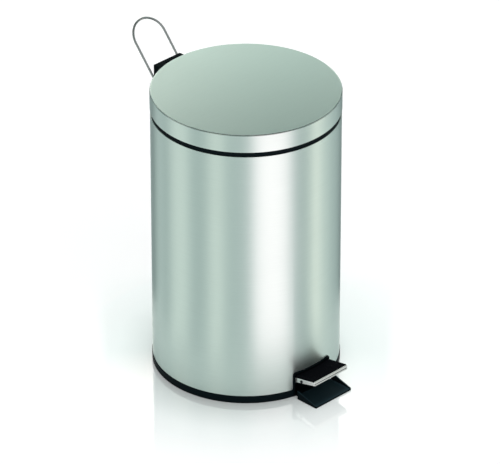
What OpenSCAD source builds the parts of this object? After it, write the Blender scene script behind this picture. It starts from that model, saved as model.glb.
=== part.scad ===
// Pedal bin: a round steel body with an inner bucket, a hinged lid and a carry handle.
// The pedal turns one lever under the bucket, its rear fork lifts a push rod, and the
// rod turns the slotted arm that is screwed to the lid.
// Millimetres. +Z is up, the pedal points to -Y, and the origin is on the body's axis at
// floor level.

/* [Body] */
// Outer diameter of the steel body
body_d = 250; // [240:1:260]
// Height of the steel body's top edge above the floor
body_top = 371.1; // [360:0.1:385]
// Thickness of the body's sheet
body_sheet = 0.8; // [0.5:0.1:1]
// Height of the visible part of the base ring
base_h = 10.8; // [9:0.1:12]
// How far the base ring stands proud of the body
base_proud = 0.6; // [0.3:0.1:1]

/* [Lid] */
// How far the lid's skirt stands proud of the body
lid_proud = 0.5; // [0.3:0.1:0.8]
// Height of the black rim ring that shows under the lid
rim_show = 7.1; // [6.5:0.1:7.7]
// Height of the lid's skirt
skirt_h = 25.1; // [22:0.1:28]
// Thickness of the lid's sheet
lid_sheet = 0.8; // [0.6:0.1:1]
// Radius of the lid's pressed edge
lid_edge_r = 1.4; // [1.1:0.1:2.5]

/* [Lid hinge] */
// Distance of the lid's hinge pin behind the body's wall
hinge_out = 8; // [7.8:0.1:8.4]
// Height of the hinge pin above the skirt's lower edge
hinge_rise = 5.8; // [5:0.1:6.5]
// Width of the rear hinge housing
hinge_w = 49; // [45:0.5:49]
// Depth of the hinge housing behind the body's wall
hinge_depth = 23.9; // [22.9:0.1:26]
// Height of the hinge housing
hinge_h = 45; // [42:1:50]

/* [Carry handle] */
// Wire diameter of the carry handle
handle_wire = 3; // [2.5:0.1:3.2]
// Distance between the centres of the handle's legs
handle_w = 52.4; // [52.4:0.1:56]
// Distance from the handle's pivot to the centre of the wire at its top
handle_reach = 84.7; // [75:0.1:95]
// Lean of the handle from upright
handle_lean = 40; // [30:1:60]

/* [Pedal] */
// Width of the pedal
pedal_w = 60.6; // [56:0.2:62]
// How far the pedal stands out in front of the body
pedal_reach = 33.4; // [30:0.1:34]
// Width of the floor tongue under the pedal
tongue_w = 67; // [66:0.2:72]
// How far the tongue stands out in front of the body
tongue_reach = 38.6; // [36:0.1:43]

/* [Bucket] */
// Outer diameter of the bucket's wall at its top
bucket_top_d = 218; // [212:1:219]
// Outer diameter of the bucket's wall at its floor
bucket_floor_d = 202; // [180:1:208]
// Height of the bucket's floor above the ground
bucket_z = 46; // [44:1:60]

/* [Hidden] */

steel = [0.76, 0.80, 0.78];
zinc = [0.62, 0.64, 0.66];
wire_finish = [0.80, 0.82, 0.82];
black = [0.07, 0.08, 0.09];
rubber = [0.04, 0.04, 0.045];
grey = [0.16, 0.17, 0.18];

// Facets of large and small circles
big = 180;
small = 48;
// Overshoot of a cut past the face that it opens
cut = 1;
// Clearance between parts that are pushed together by hand
loose = 0.1;
// Clearance of a pin that turns in its bore
running = 0.06;
// Clearance of a fixed pin in its bore
fixed_fit = 0.02;
// Length of a drill that goes right through a wall or a floor
drill = 20;

// Small screws and rivets: shank radius, head radius and head height
screw_r = 1.75;
screw_head_r = 3.4;
screw_head_h = 1.8;
rivet_r = 2;
// Larger screws of the hinge and of the lid's arm
stout_r = 2;

// Body
skirt_z = body_top + rim_show;
body_r = body_d / 2;
body_in = body_r - body_sheet;
hem_h = 4;
hem_in = body_r - 2 * body_sheet;

// Base ring and base plate
base_r = body_r + base_proud;
floor_t = 2.5;
base_flange_in = body_r - 15;
upstand_h = 9.2;
upstand_in = body_in - 1.5;
plate_t = 1.5;
plate_r = body_r - 6.5;
plate_top = floor_t + plate_t;
base_screw_r = body_r - 10.5;
base_screw_turns = [0, 45, 135, 180, 225, 315];
foot_r = 8;
foot_circle = body_r - 29;
plate_rings = [62, body_r - 29];

// Rim ring
rim_r = body_r - 1.1;
rim_top = skirt_z + 2.8;
rim_step_r = body_r - 2;
rim_wall = 2.5;
rim_leg_in = hem_in - 1.95;
rim_leg_z = body_top - 10;
ledge_in = body_r - 13.5;
ledge_z = skirt_z - 4.2;
ledge_t = 2.5;
rear_gap_w = 35;

// Lid
lid_r = body_r + lid_proud;
lid_in = lid_r - lid_sheet;
lid_top = skirt_z + skirt_h;
lid_under = lid_top - lid_sheet;
liner_t = 2.5;
liner_z = lid_under - liner_t;
liner_wall = 2.2;
liner_foot_z = rim_top + 1.2;
rib_h = 2.5;
bumper_h = 0.9;

// Lid hinge and the arm that the rod turns
hinge_y = body_r + hinge_out;
hinge_z = skirt_z + hinge_rise;
housing_top = hinge_z + 7.4;
hinge_back = body_r + hinge_depth;
pin_r = 2;
arm_w = 16;
arm_sheet = 1.6;
arm_slot_w = 18;
arm_top = hinge_z + 4;
arm_pad_z = liner_z - 4;
arm_bend = hinge_y - 14;
arm_front = body_r - 63;
arm_boss_back = body_r - 23;
rod_y = body_r - 6;
crank_d = hinge_y - rod_y;
crank_lean = 40;
slot_near = 13.6;
slot_far = 18.3;
slot_half = 2.8;
lug_r = 4.5;
knuckle_r = 5;
arm_screw_y = [body_r - 55, body_r - 33];

// Push rod
rod_r = 2;
rod_x = -14;
rod_bend = 3;
rod_rise = 22.28;
rod_top_z = hinge_z - rod_rise / 2;
rod_foot_z = 9;
rod_clip_r = 3.1;

// Pedal lever
axle_y = -22;
axle_z = 16;
axle_r = 2.5;
bush_r = 4.2;
lever_w = 22;
lever_sheet = 1.6;
fork_half = 2.45;
fork_end = rod_y + 1.9;

// Pedal: its side flange's upper and lower edges, and the pad's top, as [y, z] at both ends
pedal_front = body_r + pedal_reach;
trim_back = 13 - body_r;
trim_sheet = 1.5;
flange_hi = [[trim_back, 26.8], [-pedal_front + 1, 36.1]];
flange_lo = [[trim_back, 19.4], [-pedal_front, 31.2]];
pad_back = 3.5 - body_r;
pad_hi = [[pad_back, 32.2], [-pedal_front + 1.6, 38.2]];
cross_pin_y = -body_r - 8.7;
cross_pin_z = 27.4;
cross_pin_r = 1.5;

// Pedal housing
tongue_front = body_r + tongue_reach;
opening_w = 63;
opening_top = 34.2;
sleeve_t = 0.9;
frame_w = 66.8;
frame_top = 36.8;
frame_proud = 2.2;
neck_w = 57.2;
wing_y = -body_r - 4.4;
wall_hi = 11.7;
wall_lo = 3.4;

// Hinge housing
handle_y = body_r + 16;
handle_z = skirt_z - 10.2;
hinge_screw_z = skirt_z - 25.2;
saddle_gap = 0.05;
lid_gap = 0.6;
housing_step_z = skirt_z - 4.7;
bevel_z = hinge_z + 2;
bevel_h = 7.2;
bevel_out = 10;
arm_slot_z = skirt_z - 11.6;
arm_notch_z = skirt_z - 11.1;

// Bucket
bucket_wall = 1.8;
bucket_rim_r = body_r - 9;
bucket_rim_t = 2;
bucket_rim_z = ledge_z + bucket_rim_t;
bail_wire = 3;
bail_r = body_r - 15.2;
bail_z = bucket_rim_z + 1.8;
ear_x = body_r - 12.5;
ear_t = 2.4;
ear_r = 3.6;
grip_r = 4.5;
grip_turn = 24;
// The folded bail rises a little towards its grip, which lies just over the bucket's rim
bail_tilt = asin((grip_r + 0.3 - (bail_z - bucket_rim_z)) / bail_r);

// Height of a line through two [y, z] points, at y
function on_line(line, y) =
    line[0][1] + (line[1][1] - line[0][1]) * (y - line[0][0]) / (line[1][0] - line[0][0]);

// A side view in y and z, extruded along x from x0 to x1
module across(x0, x1) {
    translate([x0, 0, 0]) rotate([90, 0, 90]) linear_extrude(x1 - x0) children();
}

// A front view in x and z, extruded along y from y0 to y1
module along(y0, y1) {
    translate([0, y1, 0]) rotate([90, 0, 0]) linear_extrude(y1 - y0) children();
}

// The same side view on both sides of the middle plane, between two distances from it
module both_sides(near, far) {
    across(near, far) children();
    across(-far, -near) children();
}

// A round bar along x
module bar(r, x0, x1, y, z) {
    translate([x0, y, z]) rotate([0, 90, 0]) cylinder(h = x1 - x0, r = r, $fn = small);
}

// A block centred on x = 0
module block(w, y0, y1, z0, z1) {
    translate([-w / 2, y0, z0]) cube([w, y1 - y0, z1 - z0]);
}

// A flat ring
module tube(r_out, r_in, z0, z1) {
    translate([0, 0, z0]) difference() {
        cylinder(h = z1 - z0, r = r_out, $fn = big);
        translate([0, 0, -cut]) cylinder(h = z1 - z0 + 2 * cut, r = r_in, $fn = big);
    }
}

// A rectangle with round upper corners, centred on x = 0
module arch(w, z0, z1, r) {
    translate([-w / 2, z0]) square([w, z1 - z0 - r]);
    translate([-w / 2 + r, z1 - r - cut]) square([w - 2 * r, r + cut]);
    for (side = [-1, 1])
        translate([side * (w / 2 - r), z1 - r]) circle(r = r, $fn = small);
}

// A straight bar with round ends, from p to q
module capsule(p, q, r) {
    span = norm(q - p);
    translate(p) rotate(atan2(q[1] - p[1], q[0] - p[0])) {
        translate([0, -r]) square([span, 2 * r]);
        circle(r = r, $fn = small);
        translate([span, 0]) circle(r = r, $fn = small);
    }
}

// A pan-head screw that points down, with its head's underside at the origin
module screw_down(shank_r, head_r, head_h, length) {
    translate([0, 0, -length]) cylinder(h = length + head_h / 2, r = shank_r, $fn = small);
    cylinder(h = head_h / 2, r = head_r, $fn = small);
    translate([0, 0, head_h / 2])
        cylinder(h = head_h / 2, r1 = head_r, r2 = head_r * 0.6, $fn = small);
}

// ---- Body -------------------------------------------------------------------------

// Rolled steel body with a hemmed top edge, the pedal's opening and the lid arm's notch
module body_shell() {
    color(steel) difference() {
        rotate_extrude($fn = big) polygon([
            [body_in, base_h], [body_r, base_h], [body_r, body_top], [hem_in, body_top],
            [hem_in, body_top - hem_h], [body_in, body_top - hem_h]
        ]);
        along(-body_r - cut, -body_r / 2)
            arch(opening_w + 2 * sleeve_t + 2 * loose, 0, opening_top + sleeve_t + loose, 3);
        block(arm_slot_w + 2, body_r / 2, body_r + cut, arm_notch_z, body_top + cut);
        for (side = [-1, 1])
            hinge_screw_place(side)
                cylinder(h = drill, r = stout_r + loose, center = true, $fn = small);
    }
}

// Moulded ring that the body stands in, open at the front for the pedal
module base_ring() {
    color(black) difference() {
        rotate_extrude($fn = big) polygon([
            [base_flange_in, 0], [base_r - 0.3, 0], [base_r, 0.3], [base_r, base_h - 0.7],
            [base_r - 0.6, base_h], [body_in - 0.05, base_h],
            [body_in - 0.05, base_h + upstand_h], [upstand_in, base_h + upstand_h],
            [upstand_in, floor_t], [base_flange_in, floor_t]
        ]);
        block(opening_w + 2 * sleeve_t + 2 * loose, -base_r - cut, -body_r / 2, floor_t,
            base_h + upstand_h + cut);
        block(neck_w + 2 * loose, -base_r - cut, -body_r / 2, -cut, floor_t + cut);
        base_screw_places() cylinder(h = drill, r = screw_r + fixed_fit, center = true, $fn = small);
    }
}

// Places of the screws that hold the base plate to the base ring
module base_screw_places() {
    for (turn = base_screw_turns)
        rotate(turn) translate([base_screw_r, 0, plate_top]) children();
}

// Places of the screws that hold the pedal housing under the base plate
module housing_screw_places() {
    for (side = [-1, 1]) translate([side * 20, 28 - body_r, plate_top]) children();
}

// Places of the rivets that hold the lever bracket
module bracket_rivet_places() {
    for (side = [-1, 1], end = [-1, 1])
        translate([side * 17.5, axle_y + end * 7, plate_top]) children();
}

// Floor of the body, which carries the lever's bracket
module base_plate() {
    color(black) difference() {
        union() {
            translate([0, 0, floor_t]) cylinder(h = plate_t, r = plate_r, $fn = big);
            // Stiffening rings moulded on top
            for (r = plate_rings) tube(r + 2, r, plate_top, plate_top + 1.5);
        }
        block(opening_w + 3.4, -plate_r - cut, 21 - body_r, floor_t - cut, plate_top + 4);
        // Way for the lever through the stiffening rings
        block(lever_w + 8, -plate_r - cut, plate_r + cut, plate_top, plate_top + 4);
        base_screw_places() cylinder(h = drill, r = screw_r + fixed_fit, center = true, $fn = small);
        housing_screw_places() {
            cylinder(h = drill, r = screw_r + fixed_fit, center = true, $fn = small);
            cylinder(h = drill, r = screw_head_r + 0.6, $fn = small);
        }
        bracket_rivet_places()
            cylinder(h = drill, r = rivet_r + fixed_fit, center = true, $fn = small);
    }
}

module base_screws() {
    color(zinc) base_screw_places()
        screw_down(screw_r, screw_head_r, screw_head_h, plate_top - 0.5);
}

module housing_screws() {
    color(zinc) housing_screw_places()
        screw_down(screw_r, screw_head_r, screw_head_h, plate_top - 0.5);
}

// Four soft pads between the base plate and the floor
module rubber_feet() {
    color(rubber) for (turn = [45 : 90 : 315])
        rotate(turn) translate([foot_circle, 0, 0]) cylinder(h = floor_t, r = foot_r, $fn = small);
}

// Ring in the body's top edge, with the ledge that carries the bucket
module rim_ring() {
    color(black) difference() {
        rotate_extrude($fn = big) polygon([
            [ledge_in, ledge_z - ledge_t], [rim_leg_in, ledge_z - ledge_t],
            [rim_leg_in, rim_leg_z], [hem_in - 0.05, rim_leg_z], [hem_in - 0.05, body_top],
            [rim_r, body_top], [rim_r, skirt_z - 0.2], [rim_step_r, skirt_z + 0.2],
            [rim_step_r, rim_top], [rim_step_r - rim_wall, rim_top],
            [rim_step_r - rim_wall, ledge_z], [ledge_in, ledge_z]
        ]);
        block(rear_gap_w, 0, body_r + cut, rim_leg_z - cut, rim_top + cut);
    }
}

// Four soft stops that the lid comes down on
module lid_bumpers() {
    color(rubber) for (turn = [40, 140, 220, 320])
        rotate([0, 0, turn - 2]) rotate_extrude(angle = 4, $fn = big)
            translate([rim_step_r - rim_wall + 0.3, rim_top]) square([rim_wall - 0.3, bumper_h]);
}

// ---- Pedal housing ----------------------------------------------------------------

// Frame round the pedal's opening, the sleeve through the body's wall and the floor tongue
module pedal_housing() {
    color(black) difference() {
        union() {
            // Frame on the outside of the body
            intersection() {
                along(-body_r - 10, -body_r / 2) arch(frame_w, base_h + loose, frame_top, 4);
                tube(body_r + frame_proud, body_r + 0.05, 0, frame_top + cut);
            }
            // Sleeve through the wall
            intersection() {
                along(-body_r - 10, 7.5 - body_r)
                    arch(opening_w + 2 * sleeve_t, floor_t, opening_top + sleeve_t, 3);
                cylinder(h = frame_top, r = body_r + frame_proud, $fn = big);
            }
            // Tongue on the floor
            linear_extrude(floor_t) tongue_outline();
            // Side walls of the tongue, which fall towards its front
            intersection() {
                both_sides(opening_w / 2, tongue_w / 2) polygon([
                    [5 - body_r, 0], [5 - body_r, wall_hi], [wing_y, wall_hi],
                    [-tongue_front, wall_lo - 0.6], [-tongue_front, 0]
                ]);
                linear_extrude(30) tongue_outline();
            }
        }
        // The pedal's way through
        along(-body_r - 10, 15 - body_r) arch(opening_w, floor_t + 1.1, opening_top, 2.4);
        housing_screw_places()
            cylinder(h = drill, r = screw_r + fixed_fit, center = true, $fn = small);
    }
}

// Plan of the tongue: a neck through the base ring and a wide front with round corners
module tongue_outline() {
    corner = 1.8;
    back = 35 - body_r;
    neck_y = wing_y + (tongue_w - neck_w) / 2;
    polygon([
        [-neck_w / 2, back], [-neck_w / 2, neck_y], [-tongue_w / 2, wing_y],
        [-tongue_w / 2, corner - tongue_front], [tongue_w / 2, corner - tongue_front],
        [tongue_w / 2, wing_y], [neck_w / 2, neck_y], [neck_w / 2, back]
    ]);
    translate([-tongue_w / 2 + corner, -tongue_front]) square([tongue_w - 2 * corner, 20]);
    for (side = [-1, 1])
        translate([side * (tongue_w / 2 - corner), -tongue_front + corner])
            circle(r = corner, $fn = small);
}

// ---- Lever bearing ----------------------------------------------------------------

// Pressed bracket whose two ears hold the lever's axle
module lever_bracket() {
    ear_in = lever_w / 2 + 0.6;
    strip_t = 1.5;
    color(zinc) difference() {
        union() {
            block(46, axle_y - 12, axle_y + 12, plate_top, plate_top + strip_t);
            both_sides(ear_in, ear_in + 1.5) {
                translate([axle_y, axle_z]) circle(r = 6.5, $fn = small);
                translate([axle_y - 6.5, plate_top]) square([13, axle_z - plate_top]);
                translate([axle_y - 12, plate_top]) square([24, strip_t + 2]);
            }
        }
        bar(axle_r + fixed_fit, -30, 30, axle_y, axle_z);
        bracket_rivet_places()
            cylinder(h = drill, r = rivet_r + fixed_fit, center = true, $fn = small);
    }
}

// Rivets through the bracket's strip and the base plate
module bracket_rivets() {
    color(zinc) bracket_rivet_places() {
        translate([0, 0, -plate_t - 0.8]) cylinder(h = 0.8, r = 3.2, $fn = small);
        translate([0, 0, -plate_t]) cylinder(h = plate_t + 1.5, r = rivet_r, $fn = small);
        translate([0, 0, 1.5]) cylinder(h = 1.2, r1 = 3.4, r2 = 2.2, $fn = small);
    }
}

module lever_axle() {
    color(zinc) bar(axle_r, -16, 16, axle_y, axle_z);
}

// Push-on clips at both ends of the axle
module axle_clips() {
    color(zinc) difference() {
        union() {
            bar(4.6, 13.3, 14.1, axle_y, axle_z);
            bar(4.6, -14.1, -13.3, axle_y, axle_z);
        }
        bar(axle_r + fixed_fit, -20, 20, axle_y, axle_z);
    }
}

// ---- Rear hinge housing -----------------------------------------------------------

// Place and direction of a screw through the backing plate and the body's wall
module hinge_screw_place(side) {
    translate([side * 7.5, body_in - 1.5, hinge_screw_z]) rotate([-90, 0, 0]) children();
}

// Block on the back of the body: it holds the lid's pin between two cheeks, and the handle
module hinge_housing() {
    corner = 3;
    front = body_r - 25;
    foot_z = housing_top - hinge_h;
    color(black) difference() {
        intersection() {
            // Plan with round rear corners
            translate([0, 0, foot_z]) linear_extrude(hinge_h) union() {
                translate([-hinge_w / 2, front]) square([hinge_w, hinge_back - corner - front]);
                translate([-hinge_w / 2 + corner, front])
                    square([hinge_w - 2 * corner, hinge_back - front]);
                for (side = [-1, 1])
                    translate([side * (hinge_w / 2 - corner), hinge_back - corner])
                        circle(r = corner, $fn = small);
            }
            // Side view: the lower end slopes back to the wall
            across(-hinge_w, hinge_w) polygon([
                [front, foot_z], [hinge_back - 9, foot_z], [hinge_back, foot_z + 12],
                [hinge_back, housing_top - 1], [hinge_back - 1, housing_top], [front, housing_top]
            ]);
        }
        // Saddle on the body's wall, and room for the lid's skirt above it
        translate([0, 0, foot_z - cut])
            cylinder(h = hinge_h, r = body_r + saddle_gap, $fn = big);
        translate([0, 0, housing_step_z])
            cylinder(h = hinge_h, r = lid_r + lid_gap, $fn = big);
        // Bevel along the upper front edge, past which the skirt turns
        translate([0, 0, bevel_z]) cylinder(
            h = bevel_h, r1 = lid_r + lid_gap, r2 = lid_r + lid_gap + bevel_out, $fn = big
        );
        // Slot in which the lid's arm turns
        block(arm_slot_w, front, handle_y, arm_slot_z, housing_top + cut);
        // Pin bore, blind at the left end
        bar(pin_r + fixed_fit, -hinge_w / 2 + 3, hinge_w / 2 + cut, hinge_y, hinge_z);
        // Blind bores of the carry handle
        both_sides(hinge_w / 2 - 7.5, hinge_w / 2 + cut)
            translate([handle_y, handle_z]) circle(r = handle_wire / 2 + running, $fn = small);
        for (side = [-1, 1])
            hinge_screw_place(side) cylinder(h = 14, r = stout_r + fixed_fit, $fn = small);
    }
}

// Steel plate inside the body's wall behind the housing, with the rod's upper eye
module hinge_backing_plate() {
    plate_lo = rim_leg_z - 24;
    plate_hi = rim_leg_z - 0.5;
    color(zinc) difference() {
        union() {
            intersection() {
                tube(body_in - 0.02, body_in - 1.5, plate_lo, plate_hi);
                block(44, rod_y - 19, body_r, plate_lo, plate_hi);
            }
            intersection() {
                translate([rod_x - 5, rod_y - 4.5, plate_lo]) cube([10, 20, 9]);
                cylinder(h = plate_hi, r = body_in - 0.02, $fn = big);
            }
        }
        rod_bore(plate_lo, plate_hi);
        for (side = [-1, 1]) hinge_screw_place(side) {
            cylinder(h = drill, r = stout_r + loose, center = true, $fn = small);
            mirror([0, 0, 1]) cylinder(h = 5, r = 3.4, $fn = small);
        }
    }
}

// Bore for the push rod
module rod_bore(z0, z1) {
    translate([rod_x, rod_y, z0 - cut])
        cylinder(h = z1 - z0 + 2 * cut, r = rod_r + running, $fn = small);
}

// Screws from inside the body into the housing
module hinge_screws() {
    color(zinc) for (side = [-1, 1]) hinge_screw_place(side) {
        translate([0, 0, -1.6]) cylinder(h = 1.6, r = 3.25, $fn = small);
        cylinder(h = 11, r = stout_r, $fn = small);
    }
}

// Pin of the lid's hinge, pushed in from the right
module hinge_pin() {
    color(zinc) bar(pin_r, -hinge_w / 2 + 3.2, hinge_w / 2 - 0.2, hinge_y, hinge_z);
}

// Lower guide of the push rod, which stands on the base ring's upstand
module rod_guide() {
    foot_z = base_h + upstand_h;
    eye_z = 50;
    eye_top = 62;
    color(black) difference() {
        intersection() {
            union() {
                translate([rod_x - 8, rod_y - 19, foot_z]) cube([9.5, 40, eye_top - foot_z]);
                translate([rod_x - 6, rod_y - 4.5, eye_z]) cube([12, 20, eye_top - eye_z]);
            }
            difference() {
                cylinder(h = eye_top, r = body_in - 0.05, $fn = big);
                translate([0, 0, -cut]) cylinder(h = eye_z + cut, r = body_in - 1.6, $fn = big);
                translate([0, 0, eye_z - cut]) cylinder(h = eye_top, r = rod_y - 5, $fn = big);
            }
        }
        rod_bore(eye_z, eye_top);
    }
}

// ---- Lid --------------------------------------------------------------------------

// Half section of the pressed lid, or of its inside
module lid_section(r, z, edge) {
    translate([0, skirt_z - cut]) square([r - edge, z - skirt_z + cut]);
    translate([0, skirt_z - cut]) square([r, z - edge - skirt_z + cut]);
    translate([r - edge, z - edge]) circle(r = edge, $fn = small);
}

// Pressed steel lid with a notch for the hinge arm
module lid_shell() {
    color(steel) difference() {
        rotate_extrude($fn = big) intersection() {
            difference() {
                lid_section(lid_r, lid_top, lid_edge_r);
                lid_section(lid_in, lid_under, lid_edge_r - lid_sheet + 0.01);
            }
            translate([0, skirt_z]) square([lid_r + cut, skirt_h + cut]);
        }
        block(arm_w + 3, body_r / 2, lid_r + cut, skirt_z - cut, arm_top + 1.3);
    }
}

// Moulded inner lid: a disc with ribs, a wall inside the skirt and a boss for the arm
module lid_liner() {
    liner_r = lid_in - loose;
    arm_gap = 26;
    rib_t = 1.6;
    color(black) difference() {
        union() {
            translate([0, 0, liner_z]) cylinder(h = liner_t, r = liner_r - 0.7, $fn = big);
            tube(liner_r, liner_r - liner_wall, liner_foot_z, liner_z + 0.8);
            tube(40, 38, liner_z - rib_h, liner_z);
            tube(82, 80.4, liner_z - rib_h, liner_z);
            for (turn = [0 : 45 : 315])
                rotate(turn) translate([39, -rib_t / 2, liner_z - rib_h])
                    cube([liner_r - 39 - rib_t, rib_t, rib_h]);
            block(arm_gap, arm_front - 4, arm_boss_back, arm_pad_z, liner_z);
        }
        block(arm_gap, arm_boss_back, lid_r, liner_foot_z - cut, liner_z);
        for (y = arm_screw_y)
            translate([0, y, arm_pad_z - cut])
                cylinder(h = 6.2, r = stout_r + fixed_fit, $fn = small);
    }
}

// Side view of the lid's arm, without its holes
module arm_side() {
    axis = [hinge_y, hinge_z];
    way = [-cos(crank_lean), -sin(crank_lean)];
    translate(axis) circle(r = knuckle_r, $fn = small);
    capsule(axis, axis + slot_far * way, lug_r);
    polygon([
        [hinge_y + 4, hinge_z], [hinge_y + 4, arm_top], [arm_bend, arm_top],
        [arm_bend - 15.5, arm_pad_z], [arm_front, arm_pad_z], [arm_front, arm_pad_z - 4.5],
        [arm_bend - 18, arm_pad_z - 4.5], [arm_bend - 4, hinge_z - 1], axis + slot_far * way,
        [hinge_y, hinge_z - 1]
    ]);
}

// Pressed arm: two flanges on the hinge pin, each with the rod's slot, and a web on top
module lid_arm() {
    axis = [hinge_y, hinge_z];
    way = [-cos(crank_lean), -sin(crank_lean)];
    color(zinc) difference() {
        union() {
            both_sides(arm_w / 2 - arm_sheet, arm_w / 2) arm_side();
            across(-arm_w / 2, arm_w / 2) polygon([
                [hinge_y + 4, arm_top - arm_sheet], [hinge_y + 4, arm_top], [arm_bend, arm_top],
                [arm_bend - 15.5, arm_pad_z], [arm_front, arm_pad_z],
                [arm_front, arm_pad_z - arm_sheet], [arm_bend - 16, arm_pad_z - arm_sheet],
                [arm_bend - 0.5, arm_top - arm_sheet]
            ]);
        }
        bar(pin_r + running, -arm_w, arm_w, hinge_y, hinge_z);
        across(-arm_w, arm_w) capsule(axis + slot_near * way, axis + slot_far * way, slot_half);
        for (y = arm_screw_y)
            translate([0, y, arm_pad_z - 4])
                cylinder(h = 6, r = stout_r + loose, $fn = small);
    }
}

// Screws from below through the arm into the liner's boss
module arm_screws() {
    color(zinc) for (y = arm_screw_y)
        translate([0, y, arm_pad_z - arm_sheet]) mirror([0, 0, 1]) screw_down(stout_r, 3.8, 2, 6.4);
}

// ---- Pedal ------------------------------------------------------------------------

// Lever of channel section, from the pedal to the rod, with its flanges upwards
module pedal_lever() {
    nose_y = -body_r - 26;
    knee_y = 7 - body_r;
    step_y = rod_y - 19;
    // Lower and upper edges of the flanges, from front to back
    low = [[nose_y, 28.2], [knee_y, 19.6], [axle_y, 10], [step_y, 5.2], [fork_end, 5.2]];
    high = [[fork_end, 13.2], [step_y, 13.2], [axle_y, 22], [knee_y + 1, 25.2], [nose_y, 33.2]];
    inner = lever_w / 2 - lever_sheet;
    color(zinc) difference() {
        union() {
            both_sides(inner, lever_w / 2) polygon(concat(low, high));
            across(-lever_w / 2, lever_w / 2) polygon([
                low[0], low[1], low[2], low[3], low[3] + [0, lever_sheet],
                low[2] + [0, lever_sheet], low[1] + [0, lever_sheet], low[0] + [0, lever_sheet]
            ]);
        }
        bar(bush_r + fixed_fit, -lever_w, lever_w, axle_y, axle_z);
        bar(cross_pin_r + fixed_fit, -lever_w, lever_w, cross_pin_y, cross_pin_z);
        // Fork for the rod's foot, open at the rear
        across(-lever_w, lever_w) {
            translate([rod_y - 0.3, rod_foot_z]) circle(r = fork_half, $fn = small);
            translate([rod_y - 0.3, rod_foot_z - fork_half]) square([20, 2 * fork_half]);
        }
    }
}

// Plastic bush of the lever on its axle
module lever_bush() {
    color(black) difference() {
        bar(bush_r, -lever_w / 2 - 0.2, lever_w / 2 + 0.2, axle_y, axle_z);
        bar(axle_r + running, -lever_w, lever_w, axle_y, axle_z);
    }
}

// Moulded core of the pedal, hollow from below, with a tunnel for the lever
module pedal_block() {
    block_w = pedal_w - 2 * trim_sheet - 2 * loose;
    front = -pedal_front + 1 + trim_sheet + loose;
    top = [[trim_back, on_line(flange_hi, trim_back)], [front, on_line(flange_hi, front)]];
    bottom = [
        [trim_back, on_line(flange_lo, trim_back) + 1], [front, on_line(flange_lo, front) + 0.6]
    ];
    pocket_front = cross_pin_y + 4;
    color(black) difference() {
        across(-block_w / 2, block_w / 2) polygon([bottom[0], top[0], top[1], bottom[1]]);
        // Tunnel, up to a skin under the pad
        across(-lever_w / 2 - loose, lever_w / 2 + loose) polygon([
            bottom[0] - [-cut, 5], top[0] - [-cut, 1.2], top[1] - [-3, 1.2], bottom[1] - [-3, 5]
        ]);
        // Pockets beside the tunnel
        both_sides(lever_w / 2 + 2, block_w / 2 - 2.2) polygon([
            bottom[0] - [3, 5], top[0] - [3, 2.2],
            [pocket_front, on_line(flange_hi, pocket_front) - 2.2], [pocket_front, 10]
        ]);
        bar(cross_pin_r + fixed_fit, -block_w, block_w, cross_pin_y, cross_pin_z);
    }
}

// Steel band round the pedal's sides and front, with a lip before the pad and a groove under it
module pedal_trim() {
    groove_z = flange_lo[1][1] + 2.2;
    groove_w = 0.8;
    groove = 0.6;
    lip_back = -pedal_front + trim_sheet;
    lip_z = pad_hi[1][1] - 0.8;
    color(steel) difference() {
        across(-pedal_w / 2, pedal_w / 2) polygon([
            flange_lo[0], flange_hi[0], [lip_back, on_line(flange_hi, lip_back)],
            [lip_back, lip_z], [-pedal_front + 0.6, lip_z], [-pedal_front, lip_z - 0.6],
            [-pedal_front, groove_z + groove_w], [-pedal_front + groove, groove_z + groove_w],
            [-pedal_front + groove, groove_z], [-pedal_front, groove_z], flange_lo[1]
        ]);
        across(-pedal_w / 2 + trim_sheet, pedal_w / 2 - trim_sheet) polygon([
            [trim_back + cut, 0], [trim_back + cut, 60], [-pedal_front + 1 + trim_sheet, 60],
            [-pedal_front + 1 + trim_sheet, flange_hi[1][1] - 2],
            [-pedal_front + trim_sheet, flange_lo[1][1] + 1], [-pedal_front + trim_sheet, 0]
        ]);
        bar(cross_pin_r + fixed_fit, -pedal_w, pedal_w, cross_pin_y, cross_pin_z);
    }
}

// Rubber pad on the pedal with cross grooves
module pedal_pad() {
    groove = 0.7;
    groove_w = 1.3;
    color(rubber) difference() {
        across(-pedal_w / 2, pedal_w / 2) polygon([
            [pad_back, on_line(flange_hi, pad_back)], [pad_back, pad_hi[0][1]],
            [pad_hi[1][0] + 0.8, pad_hi[1][1]], [pad_hi[1][0], pad_hi[1][1] - 0.8],
            [pad_hi[1][0], on_line(flange_hi, pad_hi[1][0])]
        ]);
        for (y = [pad_back - 5.5 : -3.4 : 3.9 - pedal_front])
            across(-pedal_w / 2 + 3, pedal_w / 2 - 3)
                translate([y, on_line(pad_hi, y) - groove]) square([groove_w, 3]);
    }
}

// Cross pin that holds the band and the core on the lever
module pedal_pin() {
    color(grey) {
        bar(cross_pin_r, -pedal_w / 2 - 0.2, pedal_w / 2 + 0.2, cross_pin_y, cross_pin_z);
        for (side = [-1, 1]) translate([side * (pedal_w / 2 + 0.4), cross_pin_y, cross_pin_z])
            rotate([0, 90, 0]) cylinder(h = 0.8, r = 2.1, center = true, $fn = small);
    }
}

// ---- Push rod ---------------------------------------------------------------------

// A quarter bend of the rod, from straight down to +x
module rod_elbow() {
    rotate([90, 0, 0]) rotate_extrude(angle = 90, $fn = small)
        translate([rod_bend, 0]) circle(r = rod_r, $fn = small);
}

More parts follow.
